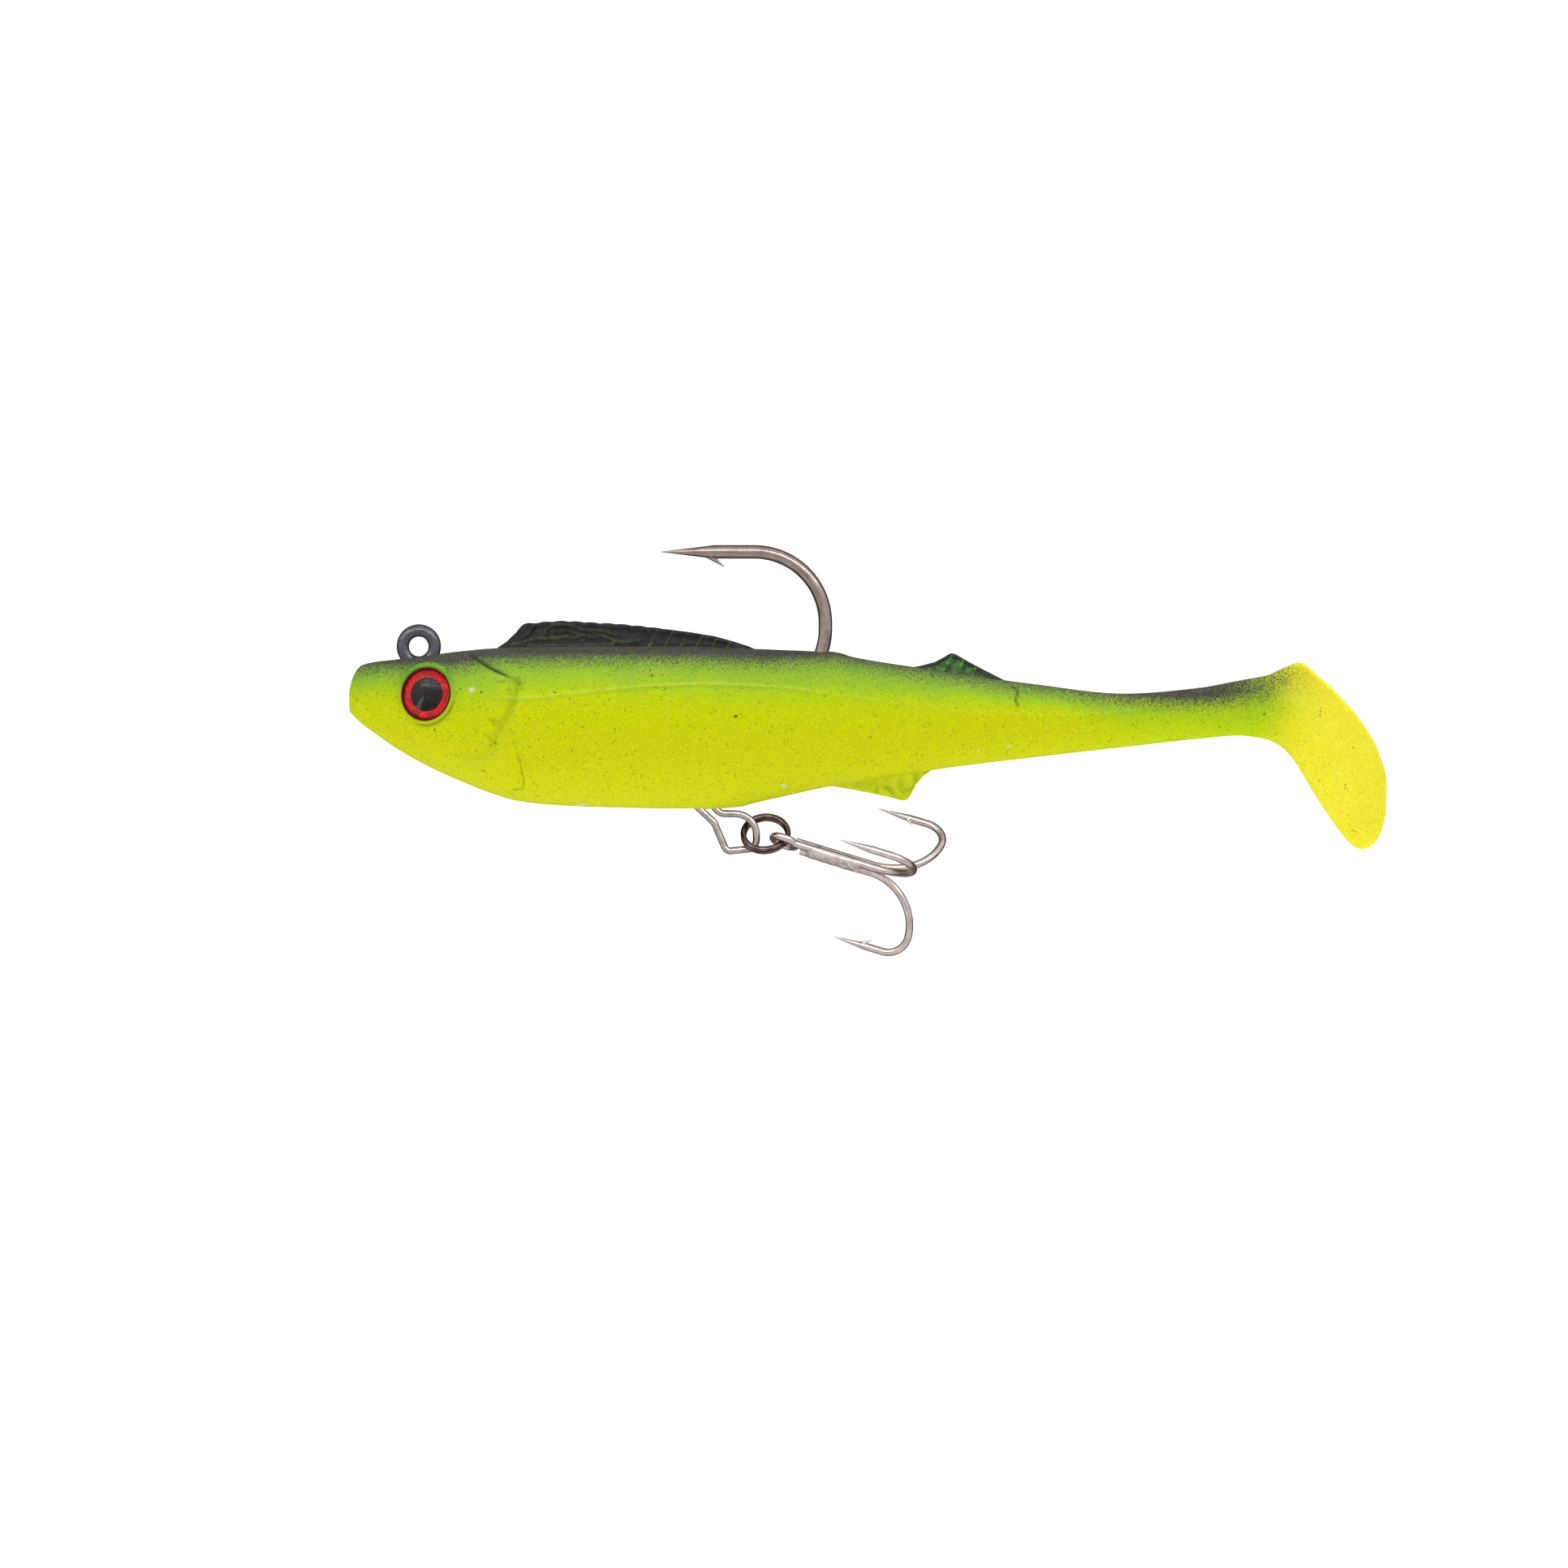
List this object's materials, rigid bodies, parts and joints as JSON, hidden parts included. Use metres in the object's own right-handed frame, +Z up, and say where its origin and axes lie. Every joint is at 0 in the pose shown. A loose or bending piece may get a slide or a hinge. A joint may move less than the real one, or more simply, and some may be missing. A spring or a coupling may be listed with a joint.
{
  "type": "soft swimbait fishing lure",
  "caption": "Soft-bodied paddle-tail fishing lure moulded over a weighted jig hook, with a line-tie eye and a treble hook that swings on a split ring from a belly hanger.",
  "frame": {"origin": "centre of the line-tie eye", "axes": "+X towards the tail, +Z up, +Y towards the fish's right side, along the axis of the line-tie eye"},
  "size_m": [0.1281, 0.0219, 0.0506],
  "materials": {
    "soft_pvc": "satin",
    "soft_pvc_yellow": "satin",
    "lead": "matte",
    "black_nickel": "gloss",
    "stainless_wire": "gloss",
    "tinned_steel": "gloss",
    "braze": "satin",
    "red_foil": "gloss",
    "pupil_black": "gloss",
    "clear_lens": "gloss"
  },
  "bodies": {
    "front_body": {"soft_body_front": "soft_pvc", "ballast_weight": "lead", "jig_hook": "black_nickel", "belly_hanger": "stainless_wire", "eye_foil_left": "red_foil", "eye_foil_right": "red_foil", "eye_pupil_left": "pupil_black", "eye_pupil_right": "pupil_black", "eye_lens_left": "clear_lens", "eye_lens_right": "clear_lens"},
    "rear_body": {"soft_body_rear": "soft_pvc"},
    "stem_body": {"tail_stem": "soft_pvc"},
    "paddle_body": {"tail_paddle": "soft_pvc_yellow"},
    "ring_body": {"split_ring": "black_nickel"},
    "treble_body": {"treble_double_hook": "tinned_steel", "treble_single_hook": "tinned_steel", "treble_braze": "braze"}
  },
  "joints": [
    {"name": "rear_bend", "type": "hinge", "parent": "front_body", "child": "rear_body", "pos_m": [0.0775, 0, 0], "axis": [0, 0, 1], "range_deg": [-18, 18], "stiffness_Nm_per_rad": 0.004},
    {"name": "stem_bend", "type": "hinge", "parent": "rear_body", "child": "stem_body", "pos_m": [0.089, 0, 0], "axis": [0, 0, 1], "range_deg": [-18, 18], "stiffness_Nm_per_rad": 0.002},
    {"name": "paddle_flex", "type": "hinge", "parent": "stem_body", "child": "paddle_body", "pos_m": [0.1005, 0, 0], "axis": [0, 0, 1], "range_deg": [-35, 35], "stiffness_Nm_per_rad": 0.001},
    {"name": "ring_swing", "type": "hinge", "parent": "front_body", "child": "ring_body", "pos_m": [0.0401, 0, -0.023], "axis": [0, 1, 0], "range_deg": [-4, 50]},
    {"name": "treble_swing", "type": "hinge", "parent": "ring_body", "child": "treble_body", "pos_m": [0.04523, -0.00088, -0.0239], "axis": [0.4279, 0.5567, 0.712], "range_deg": [-3, 70]}
  ],
  "couplings": [
    {"joint": "stem_bend", "follows": "rear_bend", "ratio": 1}
  ]
}
